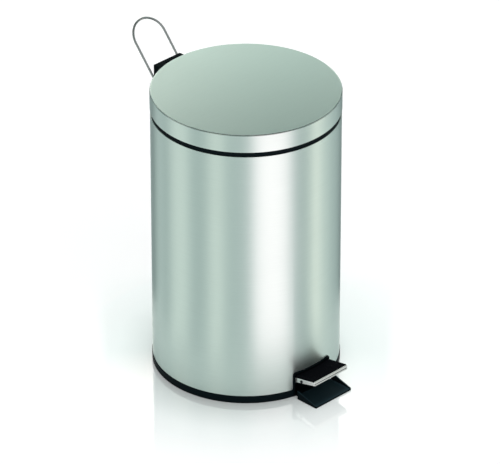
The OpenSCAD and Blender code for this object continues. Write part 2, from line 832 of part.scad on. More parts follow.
// Wire rod with both ends bent to the middle: its foot in the lever, its head in the lid's arm
module push_rod() {
    color(zinc) {
        translate([rod_x, rod_y, rod_foot_z + rod_bend])
            cylinder(h = rod_top_z - rod_foot_z - 2 * rod_bend, r = rod_r, $fn = small);
        translate([rod_x + rod_bend, rod_y, rod_foot_z + rod_bend])
            rotate([0, 180, 0]) rod_elbow();
        translate([rod_x + rod_bend, rod_y, rod_top_z - rod_bend])
            mirror([1, 0, 0]) rod_elbow();
        bar(rod_r, rod_x + rod_bend, -4.6, rod_y, rod_foot_z);
        bar(rod_r, rod_x + rod_bend, -3, rod_y, rod_top_z);
    }
}

// Push-on rings that keep the rod's ends in the lever and in the arm
module rod_clips() {
    color(black) {
        difference() {
            bar(rod_clip_r, -6.6, -5.6, rod_y, rod_foot_z);
            bar(rod_r + fixed_fit, -8, -4, rod_y, rod_foot_z);
        }
        difference() {
            bar(rod_clip_r, -5.2, -4.2, rod_y, rod_top_z);
            bar(rod_r + fixed_fit, -8, -3, rod_y, rod_top_z);
        }
    }
}

// ---- Carry handle -----------------------------------------------------------------

// Wire loop that leans back from the housing; its ends turn inwards into the housing's bores
module carry_handle() {
    r = handle_wire / 2;
    arch_r = handle_w / 2;
    leg = handle_reach - arch_r;
    color(wire_finish) translate([0, handle_y, handle_z]) rotate([-handle_lean, 0, 0]) {
        for (side = [-1, 1]) {
            translate([side * arch_r, 0, 0]) cylinder(h = leg, r = r, $fn = small);
            translate([side * arch_r, 0, 0]) sphere(r = r, $fn = small);
            bar(r, side > 0 ? arch_r - 9 : -arch_r, side > 0 ? arch_r : -arch_r + 9, 0, 0);
        }
        translate([0, 0, leg]) rotate([90, 0, 0]) rotate_extrude(angle = 180, $fn = big)
            translate([arch_r, 0]) circle(r = r, $fn = small);
    }
}

// ---- Bucket -----------------------------------------------------------------------

// Lift-out bucket with a rim that hangs on the rim ring's ledge
module inner_bucket() {
    top_r = bucket_top_d / 2;
    floor_r = bucket_floor_d / 2;
    color(grey) difference() {
        union() {
            rotate_extrude($fn = big) polygon([
                [0, bucket_z], [floor_r - 3, bucket_z], [floor_r, bucket_z + 3],
                [top_r, bucket_rim_z - bucket_rim_t], [bucket_rim_r, bucket_rim_z - bucket_rim_t],
                [bucket_rim_r, bucket_rim_z], [top_r - bucket_wall, bucket_rim_z],
                [floor_r - bucket_wall, bucket_z + 3], [floor_r - 3, bucket_z + bucket_wall],
                [0, bucket_z + bucket_wall]
            ]);
            // Ears of the bail
            both_sides(ear_x, ear_x + ear_t) {
                translate([0, bail_z]) circle(r = ear_r, $fn = small);
                translate([-ear_r, bucket_rim_z - 1])
                    square([2 * ear_r, bail_z - bucket_rim_z + 1]);
            }
        }
        // Room for the lid's arm and the rod behind the bucket
        block(40, top_r - 0.4, body_r, bucket_rim_z - bucket_rim_t - cut, bucket_rim_z + cut);
        bar(bail_wire / 2 + running, -body_r, body_r, 0, bail_z);
    }
}

// Wire bail, folded down to the front
module bucket_bail() {
    r = bail_wire / 2;
    color(wire_finish) translate([0, 0, bail_z]) rotate([-bail_tilt, 0, 0]) {
        rotate([0, 0, 180]) rotate_extrude(angle = 180, $fn = big)
            translate([bail_r, 0]) circle(r = r, $fn = small);
        for (side = [-1, 1]) translate([side * bail_r, 0, 0]) {
            sphere(r = r, $fn = small);
            rotate([0, side * 90, 0])
                cylinder(h = ear_x + ear_t + 1.2 - bail_r, r = r, $fn = small);
        }
    }
}

// Plastic grip round the middle of the bail
module bail_grip() {
    color(black) translate([0, 0, bail_z]) rotate([-bail_tilt, 0, 0])
        rotate([0, 0, 270 - grip_turn])
            rotate_extrude(angle = 2 * grip_turn, $fn = big) translate([bail_r, 0]) difference() {
                circle(r = grip_r, $fn = small);
                circle(r = bail_wire / 2 + fixed_fit, $fn = small);
            }
}

body_shell();
base_ring();
base_plate();
base_screws();
rubber_feet();
rim_ring();
lid_bumpers();
pedal_housing();
housing_screws();
lever_bracket();
bracket_rivets();
lever_axle();
axle_clips();
hinge_housing();
hinge_backing_plate();
hinge_screws();
hinge_pin();
rod_guide();
lid_shell();
lid_liner();
lid_arm();
arm_screws();
pedal_lever();
lever_bush();
pedal_block();
pedal_trim();
pedal_pad();
pedal_pin();
push_rod();
rod_clips();
carry_handle();
inner_bucket();
bucket_bail();
bail_grip();
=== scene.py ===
"""A round pedal bin in brushed steel: finishes, fine forms, stage and camera around its frame."""

import math

import bmesh
import bpy
from bpy.props import FloatProperty, FloatVectorProperty, IntProperty, PointerProperty
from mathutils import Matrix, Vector


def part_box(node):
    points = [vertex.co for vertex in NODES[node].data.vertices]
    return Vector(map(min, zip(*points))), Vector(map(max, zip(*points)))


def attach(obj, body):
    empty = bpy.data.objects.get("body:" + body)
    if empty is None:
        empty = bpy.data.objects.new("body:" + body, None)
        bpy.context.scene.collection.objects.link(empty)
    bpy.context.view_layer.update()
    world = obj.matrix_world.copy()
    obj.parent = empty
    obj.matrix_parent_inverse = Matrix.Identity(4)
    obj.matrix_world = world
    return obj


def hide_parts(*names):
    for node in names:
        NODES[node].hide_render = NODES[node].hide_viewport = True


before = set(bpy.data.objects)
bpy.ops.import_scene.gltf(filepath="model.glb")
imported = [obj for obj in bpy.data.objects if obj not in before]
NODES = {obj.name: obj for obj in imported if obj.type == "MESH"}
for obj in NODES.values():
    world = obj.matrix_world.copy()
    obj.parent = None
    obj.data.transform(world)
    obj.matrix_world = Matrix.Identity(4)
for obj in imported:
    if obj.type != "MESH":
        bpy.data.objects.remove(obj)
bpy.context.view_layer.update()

bl_info = {
    "name": "Pedal bin",
    "version": (1, 0, 0),
    "blender": (4, 5, 0),
    "location": "View3D > Sidebar > Pedal bin",
    "description": "Dresses a round pedal bin and sets up its studio",
    "category": "Object",
}

MM = 0.001
LID_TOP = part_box("lid_shell")[1].z
BODY_LOW, BODY_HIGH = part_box("body_shell")
BODY_RADIUS = BODY_HIGH.x
HOUSING_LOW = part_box("hinge_housing")[0]
# How far below the lid's top its pressed edge reaches
LID_EDGE_DEPTH = 2 * MM
# How far the pedal housing's frame stands before the body, where the tongue starts
TONGUE_CLEAR = 3 * MM
# The groove in the pedal's lip, whose faces are painted dark as shade: how far behind the lip's
# face it starts and ends, and its top
GROOVE_SKIN = 0.1 * MM
GROOVE_DEPTH = 0.65 * MM
GROOVE_TOP = 34.5 * MM
# The share of a face's normal that points up or sideways, above which the face belongs to a
# level top, to the lid's pressed edge, to the tongue's top or to the side of the pedal's band
LEVEL_FACE = 0.99
EDGE_FACE = 0.02
TONGUE_FACE = 0.3
SIDE_FACE = 0.5
# Points closer than this are joined, and faces that meet at more than this angle are sharp
JOIN = 1e-6
SHARP = math.radians(35)


# ---- Settings -----------------------------------------------------------------------


def color_property(name, description, default):
    return FloatVectorProperty(
        name=name,
        description=description,
        subtype="COLOR",
        size=3,
        min=0.0,
        max=1.0,
        default=default,
    )


class SteelSettings(bpy.types.PropertyGroup):
    """The brushed steel of the body, the lid and the pedal's band"""

    color: color_property("Steel colour", "Colour of the brushed steel", (0.57, 0.68, 0.635))
    roughness: FloatProperty(
        name="Roughness",
        description="Mean roughness of the body's brushed steel",
        min=0.05,
        max=0.95,
        default=0.38,
    )
    grain: FloatProperty(
        name="Grain",
        description="Height of one brushing line",
        unit="LENGTH",
        min=0.0001,
        max=0.005,
        default=0.7 * MM,
    )
    grain_depth: FloatProperty(
        name="Grain depth",
        description="How deep the brushing lines look",
        min=0.0,
        max=1.0,
        default=0.06,
    )
    seam_width: FloatProperty(
        name="Seam width",
        description="Width of the weld seam up the body's back",
        unit="LENGTH",
        min=0.0005,
        max=0.003,
        default=1.1 * MM,
    )
    seam_height: FloatProperty(
        name="Seam height",
        description="How far the weld seam stands proud of the body",
        unit="LENGTH",
        min=0.00005,
        max=0.001,
        default=0.14 * MM,
    )


class FittingSettings(bpy.types.PropertyGroup):
    """The wires and the plated parts"""

    wire_color: color_property(
        "Wire colour", "Colour of the carry handle's and the bail's wire", (0.30, 0.325, 0.32)
    )
    zinc_color: color_property("Zinc colour", "Colour of the zinc-plated parts", (0.62, 0.64, 0.66))
    pin_color: color_property("Pin colour", "Colour of the pedal's dark pin", (0.06, 0.06, 0.065))


class PlasticSettings(bpy.types.PropertyGroup):
    """The moulded and rubber parts"""

    color: color_property(
        "Plastic colour", "Colour of the black mouldings", (0.0042, 0.0090, 0.0110)
    )
    rubber_color: color_property(
        "Rubber colour", "Colour of the pad, the feet and the lid's stops", (0.0028, 0.0032, 0.0045)
    )
    liner_color: color_property("Liner colour", "Colour of the lid's liner", (0.030, 0.032, 0.034))
    bucket_color: color_property("Bucket colour", "Colour of the bucket", (0.070, 0.073, 0.077))
    grain: FloatProperty(
        name="Moulded grain",
        description="Size of the grain on the mouldings",
        unit="LENGTH",
        min=0.0001,
        max=0.005,
        default=0.6 * MM,
    )
    rubber_grain: FloatProperty(
        name="Rubber grain",
        description="Size of the grain on the rubber",
        unit="LENGTH",
        min=0.0001,
        max=0.005,
        default=0.8 * MM,
    )
    grip_ribs: IntProperty(
        name="Grip ribs",
        description="Number of ribs on the bail's grip",
        min=3,
        max=40,
        default=21,
    )


class StageSettings(bpy.types.PropertyGroup):
    """Camera, floor and light"""

    lens: FloatProperty(
        name="Lens",
        description="Focal length of the camera, in millimetres of a 36 mm sensor",
        min=20.0,
        max=500.0,
        default=364.6,
    )
    elevation: FloatProperty(
        name="Elevation",
        description="Angle of the camera above the horizon",
        subtype="ANGLE",
        default=math.radians(30.2),
    )
    azimuth: FloatProperty(
        name="Azimuth",
        description="Angle of the camera round the bin from straight in front of the pedal",
        subtype="ANGLE",
        default=math.radians(-45.0),
    )
    distance: FloatProperty(
        name="Distance",
        description="Distance of the camera from its aim",
        unit="LENGTH",
        default=6.683,
    )
    floor_mirror: FloatProperty(
        name="Floor mirror",
        description="How much the floor mirrors at the bin",
        subtype="FACTOR",
        min=0.0,
        max=1.0,
        default=0.40,
    )


# The scene's settings, by the name that each has there
SETTINGS = {
    "bin_steel": SteelSettings,
    "bin_fittings": FittingSettings,
    "bin_plastic": PlasticSettings,
    "bin_stage": StageSettings,
}


# ---- Materials ----------------------------------------------------------------------


def clamped(value):
    return min(1.0, max(0.0, value))


def tinted(color, factor):
    return tuple(min(1.0, channel * factor) for channel in color)


class Nodes:
    """A node tree, with one call for each node"""

    def __init__(self, tree):
        self.tree = tree
        self.tree.nodes.clear()

    def node(self, kind, **settings):
        made = self.tree.nodes.new(kind)
        for key, value in settings.items():
            setattr(made, key, value)
        return made

    def link(self, source, target):
        self.tree.links.new(source, target)

    def set(self, node, **values):
        for key, value in values.items():
            node.inputs[key.replace("_", " ")].default_value = value

    def math(self, operation, first, second):
        """An operation on two values, of which the second may be a plain number"""
        made = self.node("ShaderNodeMath", operation=operation)
        self.link(first, made.inputs[0])
        if isinstance(second, float):
            made.inputs[1].default_value = second
        else:
            self.link(second, made.inputs[1])
        return made.outputs["Value"]

    def mixed(self, share, first, second):
        """A shader that goes from the first to the second with share"""
        made = self.node("ShaderNodeMixShader")
        self.link(share, made.inputs["Fac"])
        self.link(first, made.inputs[1])
        self.link(second, made.inputs[2])
        return made.outputs["Shader"]


class Shader(Nodes):
    """A material and its node tree"""

    def __init__(self, name):
        self.material = bpy.data.materials.new(name)
        self.material.use_nodes = True
        super().__init__(self.material.node_tree)
        self.output = self.node("ShaderNodeOutputMaterial")

    def principled(self, **values):
        made = self.node("ShaderNodeBsdfPrincipled")
        self.set(made, **values)
        self.link(made.outputs["BSDF"], self.output.inputs["Surface"])
        return made

    def position(self, scale=(1.0, 1.0, 1.0)):
        """Object coordinates, stretched by scale"""
        place = self.node("ShaderNodeTexCoord")
        stretch = self.node("ShaderNodeMapping")
        stretch.inputs["Scale"].default_value = scale
        self.link(place.outputs["Object"], stretch.inputs["Vector"])
        return stretch.outputs["Vector"]

    def noise(self, vector, scale, detail=3.0, roughness=0.55):
        made = self.node("ShaderNodeTexNoise")
        self.set(made, Scale=scale, Detail=detail, Roughness=roughness)
        self.link(vector, made.inputs["Vector"])
        return made.outputs["Fac"]

    def remap(self, value, low, high):
        """value, from 0 to 1, spread between low and high"""
        made = self.node("ShaderNodeMapRange")
        self.set(made, To_Min=low, To_Max=high)
        self.link(value, made.inputs["Value"])
        return made.outputs["Result"]

    def shade(self, value, low, high):
        """A colour between low and high"""
        made = self.node("ShaderNodeMix", data_type="RGBA")
        made.inputs["A"].default_value = (*low, 1.0)
        made.inputs["B"].default_value = (*high, 1.0)
        self.link(value, made.inputs["Factor"])
        return made.outputs["Result"]

    def vary_color(self, value, surface, color, darkest, lightest):
        """Lets a surface's colour go from darkest to lightest times color with value"""
        mixed = self.shade(value, tinted(color, darkest), tinted(color, lightest))
        self.link(mixed, surface.inputs["Base Color"])

    def vary_roughness(self, value, surface, low, high):
        self.link(self.remap(value, low, high), surface.inputs["Roughness"])

    def bump(self, value, surface, strength, distance):
        made = self.node("ShaderNodeBump")
        self.set(made, Strength=strength, Distance=distance)
        self.link(value, made.inputs["Height"])
        self.link(made.outputs["Normal"], surface.inputs["Normal"])


def brushed_steel(name, color, along, roughness, anisotropy=0.0):
    """Steel brushed along the axes whose share in along is small"""
    settings = bpy.context.scene.bin_steel
    shader = Shader(name)
    metal = shader.principled(Metallic=1.0, Anisotropic=anisotropy)
    streaks = shader.noise(shader.position(along), 1.0 / settings.grain, detail=4.0, roughness=0.6)
    clouds = shader.noise(shader.position(), scale=9.0, detail=2.0)
    shader.vary_color(streaks, metal, color, darkest=0.95, lightest=1.05)
    shader.vary_roughness(clouds, metal, roughness - 0.03, roughness + 0.03)
    shader.bump(streaks, metal, settings.grain_depth, settings.grain * 0.3)
    if anisotropy:
        # A quarter turn lays the stretched highlight across the brushing
        shader.set(metal, Anisotropic_Rotation=0.25)
        tangent = shader.node("ShaderNodeTangent", direction_type="RADIAL", axis="Z")
        shader.link(tangent.outputs["Tangent"], metal.inputs["Tangent"])
    return shader.material


def moulded_plastic(name, color, grain, roughness, depth, ior):
    """Plastic or rubber with a fine grain, cloudy gloss and a few rubbed places"""
    shader = Shader(name)
    plastic = shader.principled(IOR=ior)
    fine = shader.noise(shader.position(), 1.0 / grain, detail=2.0)
    clouds = shader.noise(shader.position(), scale=14.0, detail=3.0)
    rubbed = shader.noise(shader.position((1.0, 1.0, 0.25)), scale=90.0, detail=5.0, roughness=0.7)
    shader.vary_color(clouds, plastic, color, darkest=0.8, lightest=1.25)
    cloudy = shader.remap(clouds, roughness - 0.08, roughness + 0.02)
    worn = shader.remap(rubbed, 0.0, 0.08)
    shader.link(shader.math("ADD", cloudy, worn), plastic.inputs["Roughness"])
    shader.bump(fine, plastic, depth, grain)
    return shader.material


def drawn_wire(name, color, roughness):
    """Plated wire with faint marks of the drawing die"""
    shader = Shader(name)
    metal = shader.principled(Metallic=1.0)
    marks = shader.noise(shader.position((1.0, 1.0, 0.2)), scale=700.0, detail=3.0)
    shader.vary_color(marks, metal, color, darkest=0.92, lightest=1.04)
    shader.vary_roughness(marks, metal, roughness - 0.03, roughness + 0.05)
    shader.bump(marks, metal, strength=0.03, distance=0.2 * MM)
    return shader.material


def zinc_plate(name, color, roughness):
    """Zinc-plated steel with the plating's clouds and rolling marks"""
    shader = Shader(name)
    metal = shader.principled(Metallic=1.0)
    clouds = shader.noise(shader.position(), scale=60.0, detail=4.0)
    rolled = shader.noise(shader.position((1.0, 0.15, 1.0)), scale=900.0, detail=2.0)
    shader.vary_color(clouds, metal, color, darkest=0.85, lightest=1.08)
    shader.vary_roughness(clouds, metal, roughness - 0.08, roughness + 0.08)
    shader.bump(rolled, metal, strength=0.06, distance=0.2 * MM)
    return shader.material


def steel_finishes():
    """Settings of each brushed finish: the grain is fine where along is 1"""
    settings = bpy.context.scene.bin_steel
    color = tuple(settings.color)
    around, across, lengthways = (0.02, 0.02, 1.0), (0.02, 1.0, 1.0), (1.0, 0.02, 1.0)
    return {
        "body": dict(color=color, along=around, roughness=settings.roughness, anisotropy=0.50),
        "lid_top": dict(color=color, along=across, roughness=0.30),
        # The lid's rounded edge is painted darker, a line of painted shade along it
        "lid_edge": dict(color=tinted(color, 0.62), along=around, roughness=0.2),
        "seam": dict(color=tinted(color, 0.8), along=(1.0, 1.0, 0.3), roughness=0.3),
        "pedal_band": dict(color=(0.62, 0.64, 0.62), along=across, roughness=0.26),
        # The band's sides are painted near white, a painted highlight where light catches them
        "pedal_side": dict(color=(0.95, 0.97, 0.95), along=lengthways, roughness=0.38),
    }


def plastic_finishes():
    """Settings of each moulded finish: the lower its ior, the less it mirrors"""
    settings = bpy.context.scene.bin_plastic
    black, grain = tuple(settings.color), settings.grain
    rubber, liner = tuple(settings.rubber_color), tuple(settings.liner_color)
    bucket = tuple(settings.bucket_color)
    return {
        "black_gloss": dict(color=black, grain=grain, roughness=0.42, depth=0.06, ior=1.08),
        "black_housing": dict(
            color=tinted(black, 0.6), grain=grain, roughness=0.45, depth=0.08, ior=1.055
        ),
        # The tongue's top is painted lighter than the black, as light falling on it from above
        "tongue": dict(color=tinted(black, 3.4), grain=grain, roughness=0.50, depth=0.10, ior=1.1),
        "black_satin": dict(color=black, grain=grain, roughness=0.45, depth=0.10, ior=1.2),
        "liner": dict(color=liner, grain=grain, roughness=0.42, depth=0.10, ior=1.45),
        "bucket": dict(color=bucket, grain=grain, roughness=0.40, depth=0.08, ior=1.45),
        "rubber": dict(
            color=rubber, grain=settings.rubber_grain, roughness=0.62, depth=0.2, ior=1.08
        ),
    }


def plated_finishes():
    """Settings of each zinc-plated or dark-plated finish"""
    settings = bpy.context.scene.bin_fittings
    return {
        "zinc": dict(color=tuple(settings.zinc_color), roughness=0.34),
        "dark_pin": dict(color=tuple(settings.pin_color), roughness=0.35),
    }


def wire_finishes():
    """Settings of the wire's finish"""
    return {
        "chrome_wire": dict(color=tuple(bpy.context.scene.bin_fittings.wire_color), roughness=0.07),
    }


# The finishes made so far, by name
FINISHES = {}


def finish(name):
    """The finish called name, made when it is first asked for"""
    if name not in FINISHES:
        for maker, settings in (
            (brushed_steel, steel_finishes()),
            (moulded_plastic, plastic_finishes()),
            (zinc_plate, plated_finishes()),
            (drawn_wire, wire_finishes()),
        ):
            if name in settings:
                FINISHES[name] = maker(name, **settings[name])
    return FINISHES[name]


# ---- Pieces -------------------------------------------------------------------------


def dress(material, *nodes):
    """Gives carried-over nodes their finish"""
    for name in nodes:
        mesh = NODES[name].data
        mesh.materials.clear()
        mesh.materials.append(finish(material))


def round_edges(width, *nodes):
    """Rounds the sharp edges of carried-over nodes, by modifiers alone"""
    for name in nodes:
        mesh = NODES[name].data
        for kept in ("custom_normal", "sharp_edge", "sharp_face"):
            if kept in mesh.attributes:
                mesh.attributes.remove(mesh.attributes[kept])
        mesh.shade_smooth()
        joined = NODES[name].modifiers.new("joined", "WELD")
        joined.merge_threshold = JOIN
        rounded = NODES[name].modifiers.new("rounded", "BEVEL")
        rounded.width = width
        rounded.segments = 2
        rounded.limit_method = "ANGLE"
        rounded.angle_limit = SHARP
        rounded.use_clamp_overlap = False
        NODES[name].modifiers.new("even", "WEIGHTED_NORMAL").weight = 80


def add_piece(name, bm, body, material, replaced=()):
    """Makes a piece of its own from a bmesh, which it uses up, and lets it ride on a body"""
    bmesh.ops.recalc_face_normals(bm, faces=bm.faces)
    mesh = bpy.data.meshes.new(name)
    bm.to_mesh(mesh)
    bm.free()
    mesh.shade_smooth()
    for edge_sharp, edge in zip(sharp_edges(mesh), mesh.edges):
        edge.use_edge_sharp = edge_sharp
    mesh.materials.append(finish(material))
    piece = bpy.data.objects.new(name, mesh)
    bpy.context.scene.collection.objects.link(piece)
    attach(piece, body)
    if replaced:
        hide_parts(*replaced)
    return piece


def sharp_edges(mesh):
    """For each edge of a mesh, whether its two faces meet at more than the sharp angle"""
    faces = {}
    for face in mesh.polygons:
        for key in face.edge_keys:
            faces.setdefault(key, []).append(face.normal)
    for edge in mesh.edges:
        normals = faces.get(edge.key, [])
        yield len(normals) != 2 or normals[0].angle(normals[1], 0.0) > SHARP


def skin(bm, rings):
    """Faces between rings of points, each ring closed, and a cap at either end"""
    loops = [[bm.verts.new(point) for point in ring] for ring in rings]
    for low, high in zip(loops, loops[1:]):
        for step in range(len(low)):
            following = (step + 1) % len(low)
            bm.faces.new((low[step], low[following], high[following], high[step]))
    bm.faces.new(list(reversed(loops[0])))
    bm.faces.new(loops[-1])


def circle(count):
    """Cosine and sine of evenly spaced turns"""
    turns = (math.tau * step / count for step in range(count))
    return [(math.cos(turn), math.sin(turn)) for turn in turns]


# The weld bead: its rows, the share by which it swells at each pulse of the weld, and the turn
# of that swelling from row to row
BEAD_ROWS = 240
BEAD_SWELL = 0.25
BEAD_PULSE = 2.4
# The bead across: its place sideways, and how far it stands out or is sunk
BEAD_ACROSS = ((-1.0, -0.5), (-0.5, 0.8), (0.0, 1.0), (0.5, 0.8), (1.0, -0.5))


class BIN_OT_body(bpy.types.Operator):
    """Steel body with the weld seam up its back"""

    bl_idname = "bin.body"
    bl_label = "Body"

    def execute(self, context):
        dress("body", "body_shell")
        steel = context.scene.bin_steel
        low, high = BODY_LOW.z, HOUSING_LOW.z
        bm = bmesh.new()
        rings = []
        for row in range(BEAD_ROWS + 1):
            swell = 1.0 + BEAD_SWELL * math.sin(row * BEAD_PULSE)
            half, proud = steel.seam_width / 2 * swell, steel.seam_height * swell
            z = low + (high - low) * row / BEAD_ROWS
            rings.append([(side * half, BODY_RADIUS + out * proud, z) for side, out in BEAD_ACROSS])
        skin(bm, rings)
        add_piece("body_seam", bm, "body", "seam")
        return {"FINISHED"}


class BIN_OT_lid(bpy.types.Operator):
    """Pressed lid with its brushed top and polished edge, the edge painted darker as shade, and the
    moulded liner under it
    """

    bl_idname = "bin.lid"
    bl_label = "Lid"

    def execute(self, context):
        dress("body", "lid_shell")
        shell = NODES["lid_shell"].data
        shell.materials.append(finish("lid_top"))
        shell.materials.append(finish("lid_edge"))
        for face in shell.polygons:
            if face.normal.z > LEVEL_FACE:
                face.material_index = 1
            # Faces of the rounded edge get the darker steel, painted shade
            elif face.normal.z > EDGE_FACE and face.center.z > LID_TOP - LID_EDGE_DEPTH:
                face.material_index = 2
        dress("liner", "lid_liner")
        round_edges(0.3 * MM, "lid_liner")
        dress("rubber", "lid_bumpers")
        return {"FINISHED"}


class BIN_OT_rings(bpy.types.Operator):
    """Black rim ring, base ring, base plate and feet"""

    bl_idname = "bin.rings"
    bl_label = "Rings and base"

    def execute(self, context):
        dress("black_gloss", "rim_ring", "base_ring")
        dress("black_satin", "base_plate")
        dress("rubber", "rubber_feet")
        round_edges(0.4 * MM, "rim_ring", "rubber_feet")
        return {"FINISHED"}


class BIN_OT_pedal(bpy.types.Operator):
    """Pedal with its steel band and rubber pad, and the housing with its tongue on the floor"""

    bl_idname = "bin.pedal"
    bl_label = "Pedal"

    def execute(self, context):
        self.dress_housing()
        self.dress_band()
        dress("black_satin", "pedal_block")
        dress("rubber", "pedal_pad")
        dress("dark_pin", "pedal_pin")
        round_edges(0.35 * MM, "pedal_housing")
        round_edges(0.3 * MM, "pedal_pad", "pedal_block")
        round_edges(0.15 * MM, "pedal_trim")
        return {"FINISHED"}

    @staticmethod
    def dress_housing():
        """The tongue's top is duller than the frame and painted lighter, as light falling from
        above, and its sides are glossier
        """
        dress("black_housing", "pedal_housing")
        housing = NODES["pedal_housing"].data
        housing.materials.append(finish("black_gloss"))
        housing.materials.append(finish("tongue"))
        for face in housing.polygons:
            if face.center.y < -BODY_RADIUS - TONGUE_CLEAR:
                # Faces of the tongue that face up get the painted lighter top
                face.material_index = 2 if face.normal.z > TONGUE_FACE else 1

    @staticmethod
    def dress_band():
        """The band's sides are brushed lengthways and painted near white as a highlight, and the
        groove in its lip is painted dark as shade
        """
        dress("pedal_band", "pedal_trim")
        trim = NODES["pedal_trim"].data
        trim.materials.append(finish("pedal_side"))
        trim.materials.append(finish("dark_pin"))
        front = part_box("pedal_trim")[0].y
        for face in trim.polygons:
            behind = face.center.y - front
            # The band's sides get the near-white steel, a painted highlight
            if abs(face.normal.x) > SIDE_FACE:
                face.material_index = 1
            # The groove's faces get the dark pin's colour, painted shade in the groove
            elif GROOVE_SKIN < behind < GROOVE_DEPTH and face.center.z < GROOVE_TOP:
                face.material_index = 2


class BIN_OT_hinge(bpy.types.Operator):
    """Rear housing with the lid's pin, arm and screws"""

    bl_idname = "bin.hinge"
    bl_label = "Lid hinge"

    def execute(self, context):
        dress("black_housing", "hinge_housing")
        round_edges(0.6 * MM, "hinge_housing")
        dress("zinc", "hinge_pin", "hinge_backing_plate", "hinge_screws", "lid_arm")
        round_edges(0.25 * MM, "lid_arm")
        low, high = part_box("arm_screws")
        head, head_height, shank = 3.8 * MM, 2.0 * MM, 2.0 * MM
        bm = bmesh.new()
        for y in (low.y + head, high.y - head):
            cross_screw(bm, Vector((0.0, y, low.z)), head, head_height, shank, high.z - low.z)
        add_piece("arm_cross_screws", bm, "lid", "zinc", ("arm_screws",))
        return {"FINISHED"}


# A screw's head, in shares of its radius: the rings of points on its face, half the width and
# half the length of the recess's arms, and how far the walls of the recess slope at either
HEAD_RINGS = (0.02, 0.08, 0.14, 0.2, 0.26, 0.32, 0.4, 0.48, 0.56, 0.7, 0.85, 0.94, 1.0)
RECESS_HALF_WIDTH = 0.13
RECESS_HALF_LENGTH = 0.56
RECESS_SLOPE_WIDTH = 0.03
RECESS_SLOPE_LENGTH = 0.06
# In shares of the head's height: the recess's depth, and how much lower the head's rim is
RECESS_DEPTH = 0.55
HEAD_DOME = 0.35


def cross_screw(bm, place, head, head_height, shank, length):
    """A pan-head screw, its head down at place, with a cross recess in the head's face"""
    turns = circle(96)
    rings = []
    for share in HEAD_RINGS:
        ring = []
        for x, y in turns:
            across, along = sorted((abs(x) * share, abs(y) * share))
            sunk = RECESS_DEPTH * clamped((RECESS_HALF_WIDTH - across) / RECESS_SLOPE_WIDTH)
            sunk *= clamped((RECESS_HALF_LENGTH - along) / RECESS_SLOPE_LENGTH)
            height = (sunk + HEAD_DOME * share ** 4) * head_height
            ring.append(place + Vector((x * share * head, y * share * head, height)))
        rings.append(ring)
    # The head's back, the shank and its pointed end
    for radius, height in (
        (head, head_height), (shank, head_height), (shank, length - shank / 2), (shank / 2, length)
    ):
        rings.append([place + Vector((x * radius, y * radius, height)) for x, y in turns])
    skin(bm, rings)


class BIN_OT_handle(bpy.types.Operator):
    """Wire carry handle"""

    bl_idname = "bin.handle"
    bl_label = "Carry handle"

    def execute(self, context):
        dress("chrome_wire", "carry_handle")
        return {"FINISHED"}


# The bail's grip: radius of the wire and of the grip, depth of the valleys between its ribs,
# and rings of points in each rib and in each ring
WIRE_RADIUS = 1.5 * MM
GRIP_RADIUS = 4.5 * MM
RIB_DEPTH = 0.55 * MM
RINGS_A_RIB = 8
GRIP_POINTS = 28
# Its rounded ends: the share of its half length where they start, and of its radius at the tip
GRIP_END = 0.96
GRIP_TIP = 0.55


class BIN_OT_bucket(bpy.types.Operator):
    """Inner bucket with its bail and the bail's ribbed grip"""

    bl_idname = "bin.bucket"
    bl_label = "Bucket"

    def execute(self, context):
        dress("bucket", "inner_bucket")
        dress("chrome_wire", "bucket_bail")
        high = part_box("bail_grip")[1]
        bail_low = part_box("bucket_bail")[0]
        # The bail is an arc round the bucket's axis, which rises a little towards its grip
        level, reach = bail_low.z + WIRE_RADIUS, -bail_low.y - WIRE_RADIUS
        rise = (high.z - GRIP_RADIUS - level) / reach
        half_turn = math.asin(high.x / (reach + GRIP_RADIUS))
        upward = Vector((0.0, rise, 1.0)).normalized()
        count = context.scene.bin_plastic.grip_ribs * RINGS_A_RIB
        bm = bmesh.new()
        rings = []
        for row in range(count + 1):
            share = 2.0 * row / count - 1.0
            turn = share * half_turn
            outward = Vector((math.sin(turn), -math.cos(turn), rise * math.cos(turn)))
            valley = 0.5 + 0.5 * math.cos(math.tau * row / RINGS_A_RIB)
            into_end = clamped((abs(share) - GRIP_END) / (1.0 - GRIP_END))
            rounded = math.sqrt(max(0.0, 1.0 - into_end ** 2))
            radius = GRIP_RADIUS - RIB_DEPTH * valley * valley
            radius *= GRIP_TIP + (1.0 - GRIP_TIP) * rounded
            middle = Vector((0.0, 0.0, level)) + outward * reach
            rings.append([
                middle + (outward * x + upward * y) * radius for x, y in circle(GRIP_POINTS)
            ])
        skin(bm, rings)
        add_piece("bail_ribbed_grip", bm, "bail", "black_satin", ("bail_grip",))
        return {"FINISHED"}


class BIN_OT_lifter(bpy.types.Operator):
    """Lever, push rod and their bearings inside the bin"""

    bl_idname = "bin.lifter"
    bl_label = "Lid lifter"

    def execute(self, context):
        dress("zinc", "pedal_lever", "push_rod", "lever_bracket", "bracket_rivets", "lever_axle",
              "axle_clips", "base_screws", "housing_screws")
        dress("black_satin", "lever_bush", "rod_clips", "rod_guide")
        round_edges(0.3 * MM, "pedal_lever", "lever_bracket", "rod_guide")
        return {"FINISHED"}


# ---- Stage --------------------------------------------------------------------------

# The studio that the steel mirrors. Each soft panel or dark board has its middle and half its
# width, in degrees round the bin from the camera's side, and its level. Gaps are dim
STUDIO_PANELS = (
    (-144, 7, 0.1), (-124, 7, 0.85), (-106, 3, 0.4), (-84, 14, 1.1), (-35, 9, 1.2),
    (-8, 14, 0.7), (90, 7, 1.6), (110, 5, 1.0), (136, 7, 0.6), (152, 7, 0.1),
)
# The main light has the same three values
MAIN_PANEL = (31, 23, 1.7)
GAP_LEVEL = 0.6
# Degrees over which a panel's edge fades
PANEL_FADE = 8
